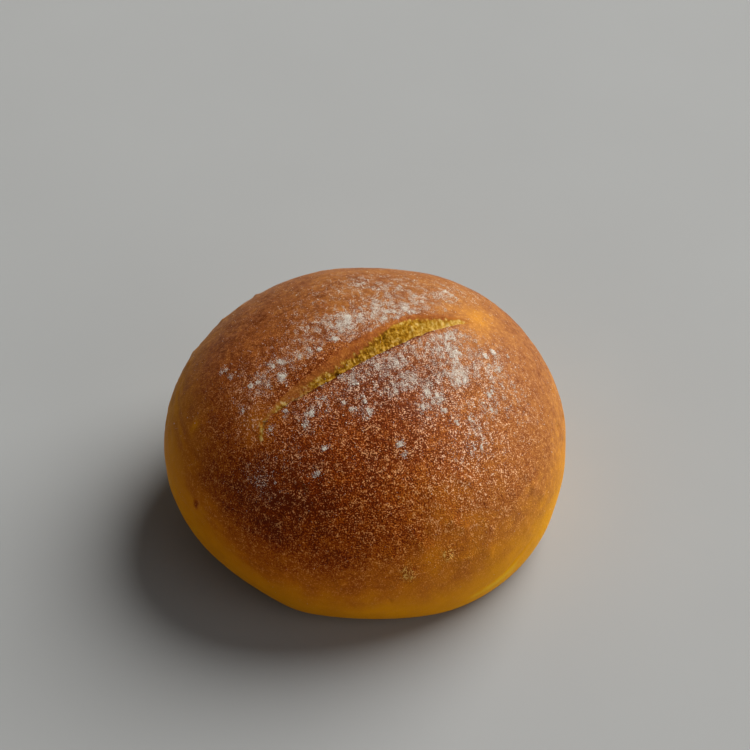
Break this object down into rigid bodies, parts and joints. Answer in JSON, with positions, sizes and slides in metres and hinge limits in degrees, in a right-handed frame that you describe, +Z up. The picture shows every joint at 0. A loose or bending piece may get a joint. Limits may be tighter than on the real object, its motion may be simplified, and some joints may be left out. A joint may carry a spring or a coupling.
{
  "type": "bread bun",
  "caption": "Round pumpkin-yellow bread bun with a browned dome, one open diagonal slash across its crown, a light flour dusting and a flat foot to rest on.",
  "frame": {"origin": "middle of the bun's outline, on the flat foot that it rests on", "axes": "+Z up out of the foot towards the crown, +X to the right and -Y towards the viewer in the pictured view, with the slash at 30 degrees from +X"},
  "size_m": [0.0798, 0.074, 0.0481],
  "materials": {
    "crust": "baked crust, satin, red-brown on the crown through golden sides to a pumpkin-yellow rim, with yellow crumb in the slash",
    "flour": "loose white flour, matte"
  },
  "bodies": {
    "root": {"bun": "crust"}
  },
  "joints": []
}
